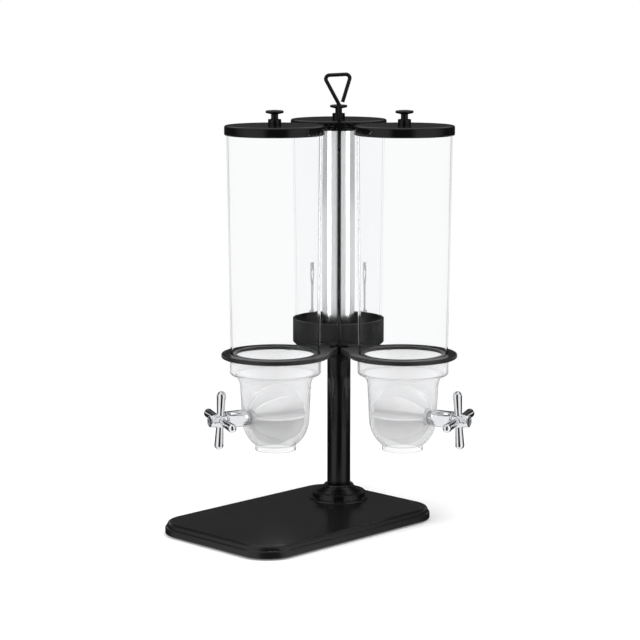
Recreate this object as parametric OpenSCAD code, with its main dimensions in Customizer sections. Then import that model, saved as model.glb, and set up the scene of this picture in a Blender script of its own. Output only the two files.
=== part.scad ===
// Revolving table dispenser for cereal and juice. Two hoppers with turning paddles and one tank
// with an ice tube are carried by three arms on a post that stands on a moulded base.
// Millimetres. Origin on the post axis at table level, +Z up, front of the base towards -Y.
// Each unit has its own frame: origin on the unit's axis, +X away from the post.

/* [Base] */
// Width of the base plate
base_w = 217; // [180:1:280]
// Length of the base plate from front to back
base_l = 328; // [280:1:400]
// Thickness of the base plate
base_t = 16; // [14:0.5:24]
// Radius of the base plate's corners
base_corner_r = 42; // [16:1:60]
// Distance from the post axis to the back edge
base_back = 64; // [55:1:110]
// Distance from the post axis to the plate's middle line, to the right
base_side = 24; // [0:1:30]
// Thickness of the anti-slip pad
pad_t = 1.5; // [1:0.1:4]
// Distance from the pad's edge to the plate's edge
pad_inset = 7; // [4:0.5:14]
// Width of the moulded band round the plate
edge_w = 9; // [8:0.5:14]
// Radius of the round from the flat top into the band
bead_r = 4.5; // [2:0.1:5]
// Height of the upright face below that round
cove_h = 1.4; // [1:0.1:4]
// Radius of the lower round of the band
bull_r = 2.6; // [2:0.1:4.5]
// Radius of the plate's lower edge
under_r = 2; // [0.5:0.1:2.5]

/* [Post] */
// Outer radius of the post
post_r = 15.75; // [14:0.25:20]
// Wall of the post
post_wall = 2; // [1.5:0.1:3]
// Radius of the foot's thin flange
foot_flange_r = 39.5; // [36:0.5:46]
// Thickness of the foot's thin flange
foot_flange_t = 2.5; // [1.5:0.1:4]
// Radius of the foot's disc
foot_disc_r = 36; // [30:0.5:38]
// Height of the foot's disc above the base
foot_disc_h = 11; // [8:0.5:14]
// Radius of the disc's upper edge
foot_edge_r = 2; // [0.5:0.1:3]
// Height of the foot above the base
foot_h = 20.5; // [18:0.5:24]
// Distance the foot's top bead stands out from the post
foot_bead_out = 4.75; // [4:0.25:7]
// Radius of the foot's top bead
foot_bead_r = 2.4; // [1.5:0.1:3]
// Radius of the post bolt's thread
bolt_r = 4; // [3:0.5:5]
// Width across flats of the post bolt's head
bolt_flats = 13; // [10:1:14]
// Height of the post bolt's head
bolt_head_h = 4; // [3:0.1:4.5]
// Radius of the flange under the bolt's head
bolt_flange_r = 9.5; // [8.5:0.5:11]
// Thickness of the flange under the bolt's head
bolt_flange_t = 1.5; // [1:0.1:2]
// Height of the threaded plug in the post
plug_h = 25; // [15:1:40]
// Length of the bolt's thread in the plug
bolt_reach = 20; // [10:1:30]

/* [Spindle and hub] */
// Radius of the journal that the hub turns on
journal_r = 8; // [7:0.25:8.5]
// Thickness of the spindle's shoulder
shoulder_t = 2.5; // [1.5:0.1:5]
// Length of the spindle inside the post
spindle_plug_h = 25; // [15:1:40]
// Thickness of the thrust washer
washer_t = 1.5; // [1:0.1:3]
// Wall of the hub bush
bush_wall = 2.5; // [1.5:0.1:2.8]
// Thickness of the bush's flange
bush_flange_t = 1.5; // [1:0.1:3]
// Length of the bush from washer to retaining ring
bush_h = 14.6; // [10:0.1:20]
// Thickness of the retaining ring
clip_t = 1.2; // [1:0.1:2]
// Distance the retaining ring stands out from the journal
clip_out = 3; // [1.5:0.1:3.2]
// Depth of the retaining ring's groove
groove_d = 1; // [0.5:0.1:2]
// Length of the journal past the retaining ring
journal_tip = 3; // [2:0.1:5]
// Free height above the journal inside the hub
hub_head_room = 2; // [1:0.1:5]
// Thickness of the hub's solid top
hub_top_t = 7.5; // [6:0.5:12]

/* [Carousel arms] */
// Height of the arms' top face above the table
arm_top_z = 226.5; // [215:0.5:300]
// Thickness of the arms
arm_t = 6; // [5.5:0.1:9]
// Distance the ring stands out past the hopper tube
ring_rim = 12.7; // [9.5:0.1:16]
// Rounding of the ring's outer edges
ring_edge_r = 2.4; // [0.5:0.1:2.7]
// Width of the ring's ledge under the hopper tube
ring_ledge = 6.8; // [5:0.1:10]
// Distance from the post axis to the nearest edge of a ring
hub_reach = 26; // [24:0.5:50]
// Radius of an arm's inner end
arm_end_r = 16; // [13:0.5:18]
// Distance from the post axis to an arm's tip
arm_tip = 5; // [4.6:0.1:8]
// Height of the boss under an arm's inner end
arm_boss_h = 9; // [7:0.5:14]
// Distance the boss stays inside the arm's end
arm_boss_inset = 1; // [0.5:0.1:4]
// Turn of the carousel away from the base's front
carousel_turn = -15.5; // [-60:0.5:60]
// Radius of the arm screws' thread
arm_screw_r = 2; // [1.5:0.1:2.5]
// Radius of the arm screws' heads
arm_screw_head_r = 3.6; // [3:0.1:4]
// Height of the arm screws' heads
arm_screw_head_h = 2.4; // [1.5:0.1:3]
// Length of the arm screws' thread in the hub
arm_screw_reach = 6; // [4:0.1:7]

/* [Hopper tubes] */
// Outer radius of a tube at its upper end
tube_top_r = 63.4; // [60:0.1:70]
// Outer radius of a tube at its lower end
tube_bottom_r = 59.3; // [56:0.1:62]
// Height of a tube
tube_h = 300; // [150:1:400]
// Wall of the tubes
tube_wall = 2.5; // [1.5:0.1:3.5]
// Depth of the tube's seat in the ring
seat_d = 2; // [1:0.1:2.5]
// Thickness of the gasket in the seat
gasket_t = 0.8; // [0.5:0.1:0.9]

/* [Lids] */
// Thickness of a lid's top
lid_plate_t = 3; // [2:0.1:5]
// Whole height of a lid
lid_h = 13; // [10:0.5:20]
// Wall of a lid's skirt
lid_wall = 2.4; // [1.5:0.1:4]
// Radius of a lid's upper edge
lid_edge_r = 2.5; // [0.5:0.1:3]
// Radius of a lid's lower edge
lid_lip_r = 2; // [0.3:0.1:2.2]
// Height of the seal under a lid
seal_h = 8; // [4:0.5:12]
// Wall of the seal under a lid
seal_wall = 3; // [2:0.1:6]
// Whole height of a knob
knob_h = 20; // [17:0.5:30]
// Radius of a knob's foot
knob_foot_r = 8.7; // [7:0.1:12]
// Height of a knob's foot
knob_foot_h = 8; // [4:0.5:9]
// Radius of a knob's neck
knob_neck_r = 4.7; // [3.5:0.1:6]
// Radius of a knob's cap
knob_cap_r = 12; // [9:0.1:16]
// Radius of the round rim of the knob's cap
knob_edge_r = 1.9; // [1:0.1:2.2]
// Height of the dome on a knob's cap
knob_dome_h = 2.6; // [2:0.1:4]
// Depth of the round underside of a knob's cap
knob_under_h = 3.4; // [2:0.1:5]
// Radius of a knob screw's thread
knob_screw_r = 2; // [1.5:0.1:2.5]
// Length of a knob screw's thread in the knob
knob_screw_reach = 8; // [5:0.5:11]
// Radius of a knob screw's head
knob_screw_head_r = 3.8; // [3:0.1:5]
// Height of a knob screw's head
knob_screw_head_h = 2.4; // [1.5:0.1:3]

/* [Bowls] */
// Wall of the bowls
bowl_wall = 2.5; // [2:0.1:3.5]
// Distance the bowl's collar stands out past the tube's lower end
collar_out = 1.1; // [-1:0.1:1.5]
// Distance from the arms' top face to the collar's lower end
collar_drop = 28.9; // [20:0.1:36]
// Radius of the collar's lower corner
collar_corner_r = 4; // [2.6:0.1:6]
// Distance the bowl's flange stands out past its collar
bowl_flange_out = 5.6; // [5.4:0.1:6]
// Thickness of the bowl's flange
bowl_flange_t = 2; // [1.5:0.1:2.2]
// Outer radius of the shoulder where it meets the collar
shoulder_r = 54.5; // [50:0.1:56]
// Outer radius of the neck below the shoulder
neck_r = 47; // [45.5:0.1:49]
// Height of the shoulder
shoulder_h = 16; // [9:0.1:18]
// Outer radius of the round lower bowl
bowl_r = 45; // [42:0.1:46]
// Distance from the shaft's axis down to the middle of the bowl's round bottom
bowl_drop = 5; // [0:0.1:8]
// Distance from the arms' top face to the shaft's axis
shaft_drop = 83.5; // [78:0.1:100]
// Outer radius of the outlet's rim
outlet_r = 27.5; // [22:0.1:34]
// Distance from the shaft's axis to the outlet's lower end
outlet_drop = 47.5; // [41:0.1:52]
// Height of the outlet's rim
outlet_rim_h = 7.5; // [5:0.1:12]
// Radius of the bowl screws' thread
bowl_screw_r = 1.25; // [1:0.05:1.5]
// Radius of the bowl screws' heads
bowl_screw_head_r = 2.3; // [2:0.05:2.4]
// Height of the bowl screws' heads
bowl_screw_head_h = 1; // [1:0.1:2.5]
// Length of the bowl screws' thread in the ring
bowl_screw_reach = 2.6; // [1.5:0.1:3]
// Number of screws in each bowl
bowl_screw_count = 4; // [3:1:8]

/* [Paddle drive] */
// Radius of the paddle
paddle_r = 40.5; // [36:0.1:41]
// Turn of the first blade from upright
blade_turn = 0; // [0:0.5:60]
// Number of blades of the paddle
blade_count = 8; // [3:1:8]
// Thickness of the blades
blade_t = 2.4; // [1.5:0.1:4]
// Radius of the paddle's core
core_r = 8; // [6:0.1:9]
// Radius of the shaft
shaft_r = 4; // [3:0.1:5]
// Depth of the flats on the shaft
shaft_flat = 0.8; // [0.4:0.1:1.2]
// Radius of the shaft's inner pivot
pivot_r = 3; // [2:0.1:3.2]
// Length of the shaft's inner pivot in its socket
pivot_len = 4; // [2.5:0.1:5]
// Radius of the pivot's socket boss
socket_r = 6.5; // [5:0.1:8]
// Wall between the socket and the outside
socket_floor = 1.8; // [1:0.1:2.5]
// Radius of the bearing's barrel
bearing_r = 11.2; // [8.5:0.05:12]
// Distance from the unit's axis to the bearing's outer end
bearing_end = 76.7; // [62:0.1:85]
// Chamfer at the ends of the bearing's barrel
bearing_chamfer = 1.2; // [0.4:0.1:2]
// Radius of the bearing's threaded spigot
spigot_r = 7; // [6:0.1:8]
// Radius of the flat pads on the bowl at the bearing
pad_r = 12; // [11.6:0.1:14]
// Height of the outer pad past the bowl's round wall
pad_out = 1.4; // [1.2:0.1:3]
// Depth of the inner pad inside the bowl's round wall
pad_in = 2.2; // [1.8:0.1:3]
// Width across flats of the bearing nut
nut_flats = 19; // [17:0.5:20]
// Thickness of the bearing nut
nut_t = 4.8; // [3:0.1:6]
// Length of the spigot past the nut
spigot_tip = 0.6; // [0.3:0.1:2]

/* [Cross handles] */
// Length of a cross handle's hub
cross_hub_len = 22; // [17:0.1:32]
// Radius of the hub at the bearing
cross_hub_r = 10.5; // [9:0.1:11]
// Radius of the hub's outer end
cross_tip_r = 7.8; // [6.6:0.1:9]
// Distance from the hub's inner face to the middle of the arms
cross_plane = 6.2; // [5:0.1:9]
// Distance from the shaft's axis to the arms' tips
cross_arm_len = 40; // [30:0.5:50]
// Radius of the arms at the hub
cross_root_r = 4.5; // [3:0.1:5]
// Radius of the arms' round tips
cross_ball_r = 6.2; // [4:0.05:7]
// Number of arms
cross_arms = 4; // [3:1:6]
// Turn of the cross from upright
cross_turn = 7; // [0:1:45]
// Depth of the eight flats on the hub
cross_flat = 0.6; // [0.2:0.1:0.7]
// Radius of the recess in the hub's outer end
recess_r = 5.2; // [4.6:0.1:5.8]
// Depth of the recess in the hub's outer end
recess_d = 3.6; // [2.6:0.1:5]
// Thickness of the web that the screw clamps
cross_web = 2; // [1:0.1:4]
// Radius of the handle screw's thread
cross_screw_r = 2; // [1.5:0.1:2.2]
// Radius of the handle screw's head
cross_screw_head_r = 3.8; // [3:0.1:4.2]
// Height of the handle screw's head
cross_screw_head_h = 2.2; // [1.5:0.1:2.8]
// Length of the handle screw's thread in the shaft
cross_screw_reach = 10; // [6:0.5:14]

/* [Juice unit] */
// Wall of the tank's cup
cup_wall = 3; // [2:0.1:4]
// Clearance between the cup and the tank's lower end
cup_clear = 1.1; // [0.8:0.1:2]
// Height of the cup
cup_h = 37.5; // [30:0.5:60]
// Distance from the arms' top face to the cup's lower end
cup_drop = 12.5; // [10:0.5:16]
// Thickness of the cup's floor
cup_floor = 4; // [2:0.1:6]
// Chamfer at the cup's lower edge
cup_chamfer = 5; // [2:0.1:5.5]
// Half the width of the cup's notch for the tap
notch_r = 14.5; // [13.5:0.1:18]
// Thickness of the tank's floor
tank_floor = 4; // [2.5:0.1:6]
// Outer radius of the ice tube
ice_r = 22.5; // [16:0.1:30]
// Wall of the ice tube
ice_wall = 1; // [0.6:0.1:2]
// Distance from the ice tube's rim to the tank's rim
ice_rim_drop = 12; // [11:0.5:40]
// Height of the ring that locates the ice tube
ice_seat_h = 5; // [3:0.5:10]
// Wall of the ring that locates the ice tube
ice_seat_wall = 2; // [1:0.1:4]
// Angle between a catch and the tap's direction
catch_angle = 34.5; // [25:0.5:60]
// Height of the catches above the cup's rim
catch_h = 71; // [50:1:100]
// Width of a catch's head
catch_w = 6; // [4:0.1:10]
// Height of a catch's head
catch_head_h = 10; // [6:0.5:16]
// Thickness of the catches
catch_t = 2.4; // [1.5:0.1:4]
// Length of a catch's eye
catch_eye_h = 20; // [12:0.5:26]
// Width of the strips beside a catch's eye
catch_strip = 1.1; // [0.8:0.1:1.6]
// Width of a catch's waist
catch_waist = 2.8; // [2:0.1:4]
// Length of the catch's leg outside the cup
catch_leg_h = 14; // [8:0.5:20]

/* [Tap] */
// Height of the tap's axis above the cup's lower end
tap_rise = 24; // [22:0.5:28]
// Distance from the unit's axis to the tap's spout
tap_reach = 92; // [88:0.5:110]
// Radius of the tap's threaded shank
shank_r = 7; // [6:0.1:8]
// Radius of the bore through the shank
shank_bore_r = 4.5; // [3:0.1:5]
// Radius of the tap's flange
tap_flange_r = 12.5; // [11:0.1:13]
// Thickness of the tap's flange
tap_flange_t = 3; // [2:0.1:4]
// Thickness of the tap's gasket
tap_gasket_t = 2; // [1:0.1:3]
// Width across flats of the tap nut
tap_nut_flats = 19.5; // [17:0.5:20]
// Thickness of the tap nut
tap_nut_t = 5.5; // [4:0.1:7]
// Radius of the tap's barrel
tap_barrel_r = 9; // [7.5:0.1:10]
// Radius of the valve chamber's wall
chamber_r = 10.5; // [9.5:0.1:13]
// Radius of the valve chamber's bore
chamber_bore_r = 7; // [6:0.1:8]
// Height of the chamber above and below the tap's axis
chamber_half = 14; // [12:0.1:18]
// Distance from the tap's axis to the valve seat
seat_drop = 10; // [8:0.1:12]
// Length of the spout below the chamber
spout_h = 22; // [12:0.5:40]
// Outer radius of the spout
spout_r = 8; // [6.5:0.1:10]
// Radius of the spout's bore
spout_bore_r = 5; // [3:0.1:5.5]
// Thickness of the bonnet above the chamber
bonnet_t = 5; // [3:0.1:8]
// Length of the bonnet's plug in the chamber
bonnet_plug_h = 4; // [2:0.1:5]
// Radius of the valve stem
stem_r = 2.5; // [2:0.1:3]
// Thickness of the valve seal
seal_t = 3; // [2:0.1:4]
// Radius of the spring seat on the stem
stem_collar_r = 5.5; // [4.6:0.1:5.8]
// Thickness of the spring seat on the stem
stem_collar_t = 2; // [1:0.1:3]
// Radius of the stem's head
stem_head_r = 4.8; // [4:0.1:5.2]
// Thickness of the stem's head
stem_head_t = 3; // [2:0.1:4]
// Distance from the spout's axis to the lever's pin
lever_offset = 11; // [10.5:0.1:14]
// Distance from the bonnet's top to the lever's pin
lever_rise = 5; // [4.6:0.1:7]
// Radius of the lever's pin
lever_pin_r = 2; // [1.5:0.1:2.5]
// Radius of the lever's eye
lever_eye_r = 4; // [3.2:0.1:4.2]
// Thickness of the lever's prongs
prong_t = 3; // [2:0.1:3.4]
// Width of each prong
prong_w = 2.4; // [1.5:0.1:2.6]
// Length of the lever above its pin
lever_h = 48; // [25:0.5:70]
// Radius of the lever's grip at its upper end
lever_grip_r = 6; // [4.5:0.1:9]
// Thickness of the bonnet's ears
ear_t = 3; // [2:0.1:5]
// Wire radius of the tap spring
spring_wire_r = 0.5; // [0.3:0.05:0.7]
// Turns of the tap spring
spring_turns = 6; // [4:1:9]

/* [Carry handle] */
// Radius of the rod
rod_r = 2.5; // [2:0.1:2.6]
// Length of the rod's thread in the hub
rod_reach = 6; // [4:0.1:7]
// Distance from the lids' top to the start of the loop
loop_rise = 24; // [5:0.5:80]
// Height of the loop at its free side
loop_h = 40.7; // [30:0.1:80]
// Distance from the rod to the loop's left corner
loop_left = 21; // [16:0.5:40]
// Distance from the rod to the loop's right corner
loop_right = 15.7; // [14:0.1:40]
// Drop of the loop's left corner below its right corner
loop_tilt = 1.8; // [0:0.1:6]
// Distance from the rod to the loop's free end
loop_end = 4.4; // [4.2:0.1:12]
// Bend radius of the rod's middle line
bend_r = 5; // [4:0.1:8]
// How much the bends are swollen by bending
bend_swell = 0.05; // [0.04:0.01:0.2]
// Angle that each bend runs into its straights
bend_lap = 3; // [2:0.5:4]
// Width across flats of the rod's nut
rod_nut_flats = 11; // [10.5:0.1:12]
// Height of the rod's nut
rod_nut_h = 4; // [2:0.1:8]

/* [Fits] */
// Radial clearance of running shafts
run_fit = 0.05; // [0.02:0.01:0.1]
// Radial clearance of screws and plugs in their holes
slip_fit = 0.1; // [0.05:0.05:0.2]
// Radial clearance of screws in through holes
through_fit = 0.25; // [0.15:0.05:0.4]
// Clearance of parts that lift out or turn past each other
free_fit = 0.4; // [0.3:0.05:0.8]
// Gap between end faces that turn on each other
face_gap = 0.3; // [0.2:0.05:0.6]

/* [Hidden] */
$fn = 96;
// How far cutting shapes run past a face, and joined shapes into each other
over = 1;
// How far the straight sides of an arm start inside its round ends
blend = 0.2;

BLACK = [0.16, 0.16, 0.165];
RUBBER = [0.09, 0.09, 0.09];
CLEAR = [0.90, 0.93, 0.95, 0.35];
SILICONE = [0.88, 0.88, 0.88, 0.85];
CHROME = [0.80, 0.81, 0.83];
STEEL = [0.66, 0.67, 0.68];
NYLON = [0.93, 0.92, 0.88];

// Levels of the stand and the hub
base_top_z = pad_t + base_t;
base_mid_y = base_back - base_l / 2;
edge_low_h = base_t - bead_r - cove_h;
edge_bull_r = min(bull_r, edge_low_h - under_r);
post_bore_r = post_r - post_wall;
bolt_seat_z = pad_t + bolt_head_h + bolt_flange_t + face_gap;
hub_top_z = arm_top_z - arm_boss_h;
hub_ceiling_z = hub_top_z - hub_top_t;
journal_top_z = hub_ceiling_z - hub_head_room;
clip_z = journal_top_z - journal_tip - clip_t;
bush_top_z = clip_z - face_gap;
bush_z = bush_top_z - bush_h;
shoulder_z = bush_z - washer_t;
post_top_z = shoulder_z - shoulder_t;
bush_r = journal_r + run_fit + bush_wall;
arm_screw_c = arm_tip + 0.5 + (post_r - arm_tip - 0.5) / 2;

// Rings, units and tubes
ring_r = tube_bottom_r + ring_rim;
ring_hole_r = tube_bottom_r - ring_ledge;
seat_in_r = tube_bottom_r - tube_wall - free_fit;
unit_r = hub_reach + ring_r;
arm_end_c = arm_tip + arm_end_r;
arm_z = arm_top_z - arm_t;
tube_z = arm_top_z - seat_d + gasket_t;
tube_top_z = tube_z + tube_h;
tube_slope = (tube_top_r - tube_bottom_r) / tube_h;
lid_z = tube_top_z + lid_plate_t - lid_h;
lid_top_z = tube_top_z + lid_plate_t;
lid_bore_r = tube_top_r + free_fit;
lid_r = lid_bore_r + lid_wall;
seal_r = tube_top_r - tube_slope * seal_h - tube_wall - free_fit;
LEFT = 270 + carousel_turn;
RIGHT = 30 + carousel_turn;
REAR = 150 + carousel_turn;

// Bowls and drives, in the units' own frames
bowl_seat_d = bowl_flange_t + face_gap;
bowl_top_z = arm_z + bowl_seat_d;
collar_r = tube_bottom_r + collar_out;
collar_z = arm_top_z - collar_drop;
flange_r = collar_r + bowl_flange_out;
neck_z = collar_z - shoulder_h;
shoulder_w = shoulder_r - neck_r;
shoulder_arc_r = (shoulder_w * shoulder_w + shoulder_h * shoulder_h) / (2 * shoulder_w);
shaft_z = arm_top_z - shaft_drop;
round_z = shaft_z - bowl_drop;
outlet_z = shaft_z - outlet_drop;
bowl_screw_c = collar_r + bowl_flange_out / 2;
pad_face_x = bowl_r + pad_out;
nut_face_x = bowl_r - bowl_wall - pad_in;
spigot_end_x = nut_face_x - nut_t - spigot_tip;
socket_end_x = -(bowl_r - socket_floor);
socket_face_x = socket_end_x + pivot_len + face_gap;
core_in_x = socket_face_x + 2 * face_gap;
core_out_x = spigot_end_x - 2 * face_gap;
cross_x = bearing_end + face_gap;
cross_end_x = cross_x + cross_hub_len;
cross_web_x = cross_end_x - recess_d - cross_web;
shaft_end_x = cross_web_x - face_gap;

// Juice unit and tap, in the juice unit's own frame
cup_z = arm_top_z - cup_drop;
cup_rim_z = cup_z + cup_h;
cup_bore_r = tube_bottom_r + cup_clear;
cup_r = cup_bore_r + cup_wall;
tank_z = cup_z + cup_floor;
tank_foot_r = tube_r_at(tank_z);
ice_z = tank_z + tank_floor;
ice_top_z = tube_top_z - ice_rim_drop;
tap_z = cup_z + tap_rise;
tap_wall_r = tube_r_at(tap_z);
tap_pad_r = tap_flange_r - 0.5;
tap_face_x = tap_wall_r + 2.4;
tap_nut_x = sqrt(pow(tap_wall_r - tube_wall, 2) - tap_pad_r * tap_pad_r) - 0.8;
tap_flange_x = tap_face_x + tap_gasket_t;
chamber_top_z = tap_z + chamber_half;
valve_seat_z = tap_z - seat_drop;
spout_z = tap_z - chamber_half - spout_h;
bonnet_top_z = chamber_top_z + bonnet_t;
lever_z = bonnet_top_z + lever_rise;
lever_x = tap_reach + lever_offset;
prong_top_z = lever_z + prong_t / 2;
stem_head_z = prong_top_z + 2 * free_fit;
stem_collar_z = valve_seat_z + seal_t;
spring_z = stem_collar_z + stem_collar_t;
spring_top_z = chamber_top_z - bonnet_plug_h;
spring_mid_r = (stem_r + chamber_bore_r) / 2;
prong_y = stem_r + free_fit;
ear_y = prong_y + prong_w + free_fit;

// Carry handle, in a frame turned so that +X is to the right of the juice unit's front
rod_z = hub_top_z - rod_reach;
loop_z = lid_top_z + loop_rise;
ROD_LINE = [
    [0, rod_z],
    [0, loop_z],
    [-loop_left, loop_z + loop_h - loop_tilt],
    [loop_right, loop_z + loop_h],
    [loop_end, loop_z + 1.5 * rod_r]
];

// Outer radius of the tapered tubes at a height
function tube_r_at(z) = tube_bottom_r + tube_slope * (z - tube_z);

// Placing
module at_unit(angle) rotate([0, 0, angle]) translate([unit_r, 0, 0]) children();
module along_x(x, z) translate([x, 0, z]) rotate([0, 90, 0]) children();
module at_each_arm() for (angle = [LEFT, RIGHT, REAR]) rotate([0, 0, angle]) children();

// Shapes used by several pieces
module pipe(r_out, r_in, h) {
    difference() {
        cylinder(r = r_out, h = h);
        translate([0, 0, -over]) cylinder(r = r_in, h = h + 2 * over);
    }
}

module hex_nut(flats, bore_r, h) {
    difference() {
        cylinder(r = flats / 2 / cos(30), h = h, $fn = 6);
        translate([0, 0, -over]) cylinder(r = bore_r, h = h + 2 * over);
    }
}

// Screw standing on z = 0 with its thread below, drilled for a hexagon key
module socket_screw(thread_r, length, head_r, head_h) {
    translate([0, 0, -length]) cylinder(r = thread_r, h = length + head_h / 2);
    difference() {
        cylinder(r = head_r, h = head_h);
        translate([0, 0, head_h / 2]) cylinder(r = head_r / 2, h = head_h, $fn = 6);
    }
}

module rounded_rect(w, l, r) {
    square([w - 2 * r, l], center = true);
    square([w, l - 2 * r], center = true);
    for (x = [-1, 1], y = [-1, 1]) translate([x * (w / 2 - r), y * (l / 2 - r)]) circle(r = r);
}

// Half section from the axis to r, with its upper and lower outer corners rounded
module rounded_half(r, h, top_r, low_r) {
    square([r - max(top_r, low_r), h]);
    translate([0, low_r]) square([r, h - low_r - top_r]);
    translate([r - top_r, h - top_r]) circle(r = top_r);
    translate([r - low_r, low_r]) circle(r = low_r);
    square([r - low_r, h - top_r]);
    translate([0, low_r]) square([r - top_r, h - low_r]);
}

// Base
module edge_section() {
    bull_x = edge_w - edge_bull_r;
    intersection() {
        translate([-over, 0]) square([edge_w + over, base_t]);
        union() {
            translate([-over, 0]) square([bull_x + over, edge_low_h + cove_h]);
            translate([-over, 0]) square([edge_w - under_r + over, edge_low_h - edge_bull_r]);
            translate([-over, under_r]) square([edge_w + over, edge_low_h - edge_bull_r - under_r]);
            translate([bull_x, edge_low_h - edge_bull_r]) circle(r = edge_bull_r);
            translate([edge_w - under_r, under_r]) circle(r = under_r);
            translate([-over, 0]) square([bull_x - bead_r + over, base_t]);
            translate([bull_x - bead_r, edge_low_h + cove_h]) circle(r = bead_r);
        }
    }
}

module edge_side(reach, length) {
    translate([reach - edge_w, length / 2, 0]) rotate([90, 0, 0])
        linear_extrude(length) edge_section();
}

module moulded_plate() {
    linear_extrude(base_t)
        rounded_rect(base_w - 2 * edge_w, base_l - 2 * edge_w, base_corner_r - edge_w);
    for (turn = [0, 180]) {
        rotate([0, 0, turn]) edge_side(base_w / 2, base_l - 2 * base_corner_r);
        rotate([0, 0, turn + 90]) edge_side(base_l / 2, base_w - 2 * base_corner_r);
    }
    for (corner = [[1, 1, 0], [-1, 1, 90], [-1, -1, 180], [1, -1, 270]])
        translate([
            corner[0] * (base_w / 2 - base_corner_r), corner[1] * (base_l / 2 - base_corner_r), 0
        ])
            rotate([0, 0, corner[2]]) rotate_extrude(angle = 90)
                translate([base_corner_r - edge_w, 0]) edge_section();
}

module base_pad() {
    color(RUBBER) translate([base_side, base_mid_y, 0]) linear_extrude(pad_t)
        rounded_rect(base_w - 2 * pad_inset, base_l - 2 * pad_inset, base_corner_r - pad_inset);
}

module base_plate() {
    color(BLACK) difference() {
        translate([base_side, base_mid_y, pad_t]) moulded_plate();
        cylinder(r = bolt_r + through_fit, h = base_top_z + over);
        cylinder(r = bolt_flange_r + free_fit, h = bolt_seat_z);
    }
}

// Post
module foot_section() {
    square([foot_flange_r, foot_flange_t]);
    rounded_half(foot_disc_r, foot_disc_h, foot_edge_r, 0);
    bead_x = post_r + foot_bead_out - foot_bead_r;
    polygon([
        [0, foot_disc_h - over], [foot_disc_r - 2 * foot_edge_r, foot_disc_h - over],
        [foot_disc_r - 2 * foot_edge_r, foot_disc_h], [bead_x, foot_h - foot_bead_r],
        [0, foot_h - foot_bead_r]
    ]);
    square([bead_x, foot_h]);
    translate([bead_x, foot_h - foot_bead_r]) circle(r = foot_bead_r);
}

module post_foot() {
    color(BLACK) translate([0, 0, base_top_z]) rotate_extrude() difference() {
        foot_section();
        translate([-over, -over]) square([post_r + slip_fit + over, foot_h + 2 * over]);
    }
}

module post_tube() {
    color(BLACK) translate([0, 0, base_top_z])
        pipe(post_r, post_bore_r, post_top_z - base_top_z);
}

module post_plug() {
    color(STEEL) translate([0, 0, base_top_z]) difference() {
        cylinder(r = post_bore_r - run_fit, h = plug_h);
        translate([0, 0, -over]) cylinder(r = bolt_r + run_fit, h = bolt_reach + 2 * over);
    }
}

module post_bolt() {
    color(STEEL) {
        translate([0, 0, bolt_seat_z - bolt_flange_t]) cylinder(r = bolt_flange_r, h = bolt_flange_t);
        translate([0, 0, bolt_seat_z - bolt_flange_t - bolt_head_h])
            cylinder(r = bolt_flats / 2 / cos(30), h = bolt_head_h + bolt_flange_t / 2, $fn = 6);
        translate([0, 0, bolt_seat_z - over])
            cylinder(r = bolt_r, h = base_top_z + bolt_reach - bolt_seat_z + over);
    }
}

// Spindle and hub
module spindle() {
    color(BLACK) difference() {
        union() {
            translate([0, 0, post_top_z - spindle_plug_h])
                cylinder(r = post_bore_r - run_fit, h = spindle_plug_h + over);
            translate([0, 0, post_top_z]) cylinder(r = post_r, h = shoulder_t);
            translate([0, 0, shoulder_z - over])
                cylinder(r = journal_r, h = journal_top_z - shoulder_z + over);
        }
        translate([0, 0, clip_z - run_fit])
            pipe(journal_r + over, journal_r - groove_d, clip_t + 2 * run_fit);
    }
}

module thrust_washer() {
    color(BLACK) translate([0, 0, shoulder_z])
        pipe(post_r - arm_boss_inset, journal_r + through_fit, washer_t);
}

module spindle_clip() {
    color(STEEL) translate([0, 0, clip_z]) difference() {
        pipe(journal_r + clip_out, journal_r - groove_d + run_fit, clip_t);
        translate([0, -journal_r / 2, -over]) cube([2 * journal_r, journal_r, clip_t + 2 * over]);
    }
}

module hub() {
    hub_z = bush_z + bush_flange_t;
    color(BLACK) difference() {
        translate([0, 0, hub_z]) cylinder(r = post_r, h = hub_top_z - hub_z);
        translate([0, 0, hub_z - over]) cylinder(r = bush_r + run_fit, h = bush_h);
        translate([0, 0, bush_top_z - over])
            cylinder(r = journal_r + clip_out + free_fit, h = hub_ceiling_z - bush_top_z + over);
        translate([0, 0, rod_z - face_gap]) cylinder(r = rod_r + run_fit, h = rod_reach + 2 * over);
        at_each_arm() translate([arm_screw_c, 0, hub_top_z - arm_screw_reach - face_gap])
            cylinder(r = arm_screw_r + run_fit, h = arm_screw_reach + 2 * over);
    }
}

module hub_bush() {
    color(BLACK) translate([0, 0, bush_z]) difference() {
        union() {
            cylinder(r = post_r, h = bush_flange_t);
            cylinder(r = bush_r, h = bush_h);
        }
        translate([0, 0, -over]) cylinder(r = journal_r + run_fit, h = bush_h + 2 * over);
    }
}

// Arms, in a unit's own frame
module arm_web(unit_rim_r) {
    span = unit_r - arm_end_c;
    lean = (unit_rim_r - arm_end_r) / span;
    side = [-lean, sqrt(1 - lean * lean)];
    wide = (unit_rim_r - blend) * side;
    slim = (arm_end_r - blend) * side;
    translate([-span, 0]) circle(r = arm_end_r);
    polygon([
        wide, [slim[0] - span, slim[1]], [slim[0] - span, -slim[1]], [wide[0], -wide[1]]
    ]);
}

module arm_solid(unit_rim_r) {
    translate([0, 0, arm_z]) linear_extrude(arm_t) arm_web(unit_rim_r);
    translate([arm_end_c - unit_r, 0, hub_top_z])
        cylinder(r = arm_end_r - arm_boss_inset, h = arm_boss_h - over);
}

module arm_screw_hole() {
    translate([arm_screw_c - unit_r, 0, hub_top_z - over])
        cylinder(r = arm_screw_r + through_fit, h = arm_boss_h + 2 * over);
}

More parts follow.
